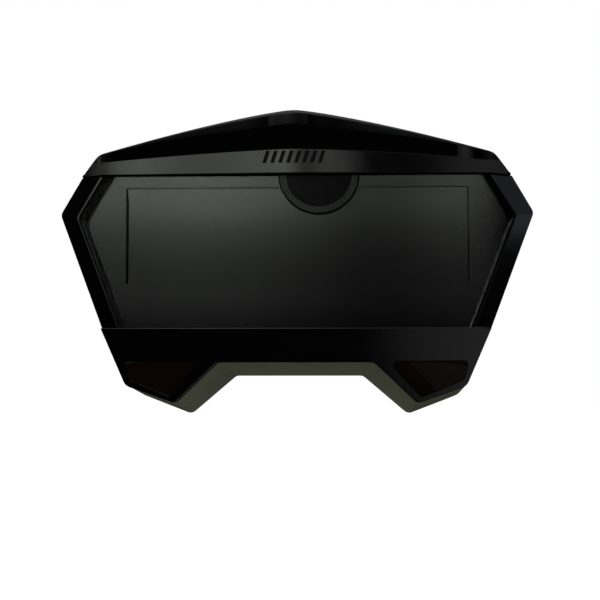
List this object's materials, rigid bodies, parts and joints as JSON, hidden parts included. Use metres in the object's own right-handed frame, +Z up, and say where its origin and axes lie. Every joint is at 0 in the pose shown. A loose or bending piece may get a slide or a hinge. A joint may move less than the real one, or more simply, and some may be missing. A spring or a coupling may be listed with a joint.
{
  "type": "instrument cluster",
  "caption": "Six-sided LCD instrument cluster with a gabled hood, smoked lens, round light, two sprung corner buttons and a rear case on three threaded posts.",
  "frame": {"origin": "centre of the circle through the three mounting holes, on the plane of the mounting posts' ends", "axes": "-Y the way the display faces, +Z up the face, +X to the right as the rider sees it"},
  "size_m": [0.1794, 0.06, 0.1129],
  "materials": {
    "case_plastic": "fine grained matte",
    "gloss_black": "high gloss",
    "smoked_lens": "smoked, polished",
    "black_rubber": "matt",
    "orange_rubber": "matt",
    "mask_plastic": "satin",
    "ring_paint": "satin",
    "light_cover": "tinted, polished",
    "polariser": "smooth film",
    "lcd_glass": "polished",
    "white_plastic": "satin",
    "white_film": "matt",
    "clear_acrylic": "polished",
    "silicone": "matt",
    "lamp_film": "printed film",
    "board": "green solder mask",
    "led_package": "satin",
    "chip_plastic": "moulded",
    "can_metal": "satin",
    "chip_ceramic": "fired ceramic",
    "connector_plastic": "moulded",
    "pin_metal": "plated",
    "button_plastic": "high gloss",
    "switch_plastic": "moulded",
    "plunger_plastic": "moulded",
    "screw_steel": "zinc plated",
    "dark_screw": "black oxide",
    "insert_brass": "knurled",
    "membrane": "matt"
  },
  "bodies": {
    "housing": {"rear_case": "case_plastic", "front_frame": "gloss_black", "hood": "gloss_black", "lower_trim": "gloss_black", "lens": "smoked_lens", "lens_seal": "black_rubber", "case_seal": "black_rubber", "dial_mask": "mask_plastic", "shift_light_ring": "ring_paint", "shift_light_lens": "light_cover", "lcd_front_polariser": "polariser", "lcd_front_glass": "lcd_glass", "lcd_rear_glass": "lcd_glass", "lcd_rear_polariser": "polariser", "lcd_holder": "white_plastic", "diffuser_sheet": "white_film", "light_guide": "clear_acrylic", "reflector_sheet": "white_film", "zebra_strip": "silicone", "lamp_light_box": "white_plastic", "lamp_film": "lamp_film", "main_board": "board", "backlight_leds": "led_package", "lamp_leds": "led_package", "shift_led": "led_package", "microcontroller": "chip_plastic", "display_driver_chip": "chip_plastic", "voltage_regulator": "chip_plastic", "crystal": "can_metal", "capacitors": "chip_plastic", "surface_mount_parts": "chip_ceramic", "connector_housing": "connector_plastic", "connector_pins": "pin_metal", "connector_seal": "orange_rubber", "left_stem_seal": "black_rubber", "right_stem_seal": "black_rubber", "left_switch_body": "switch_plastic", "right_switch_body": "switch_plastic", "case_screws": "screw_steel", "board_screws": "screw_steel", "trim_screws": "dark_screw", "mount_inserts": "insert_brass", "breather_cap": "black_rubber", "breather_membrane": "membrane"},
    "left_button_body": {"left_button": "button_plastic", "left_switch_plunger": "plunger_plastic"},
    "right_button_body": {"right_button": "button_plastic", "right_switch_plunger": "plunger_plastic"}
  },
  "joints": [
    {"name": "left_button_press", "type": "slide", "parent": "housing", "child": "left_button_body", "axis": [0, 1, 0], "range_m": [0, 0.001], "stiffness_N_per_m": 1500},
    {"name": "right_button_press", "type": "slide", "parent": "housing", "child": "right_button_body", "axis": [0, 1, 0], "range_m": [0, 0.001], "stiffness_N_per_m": 1500}
  ]
}
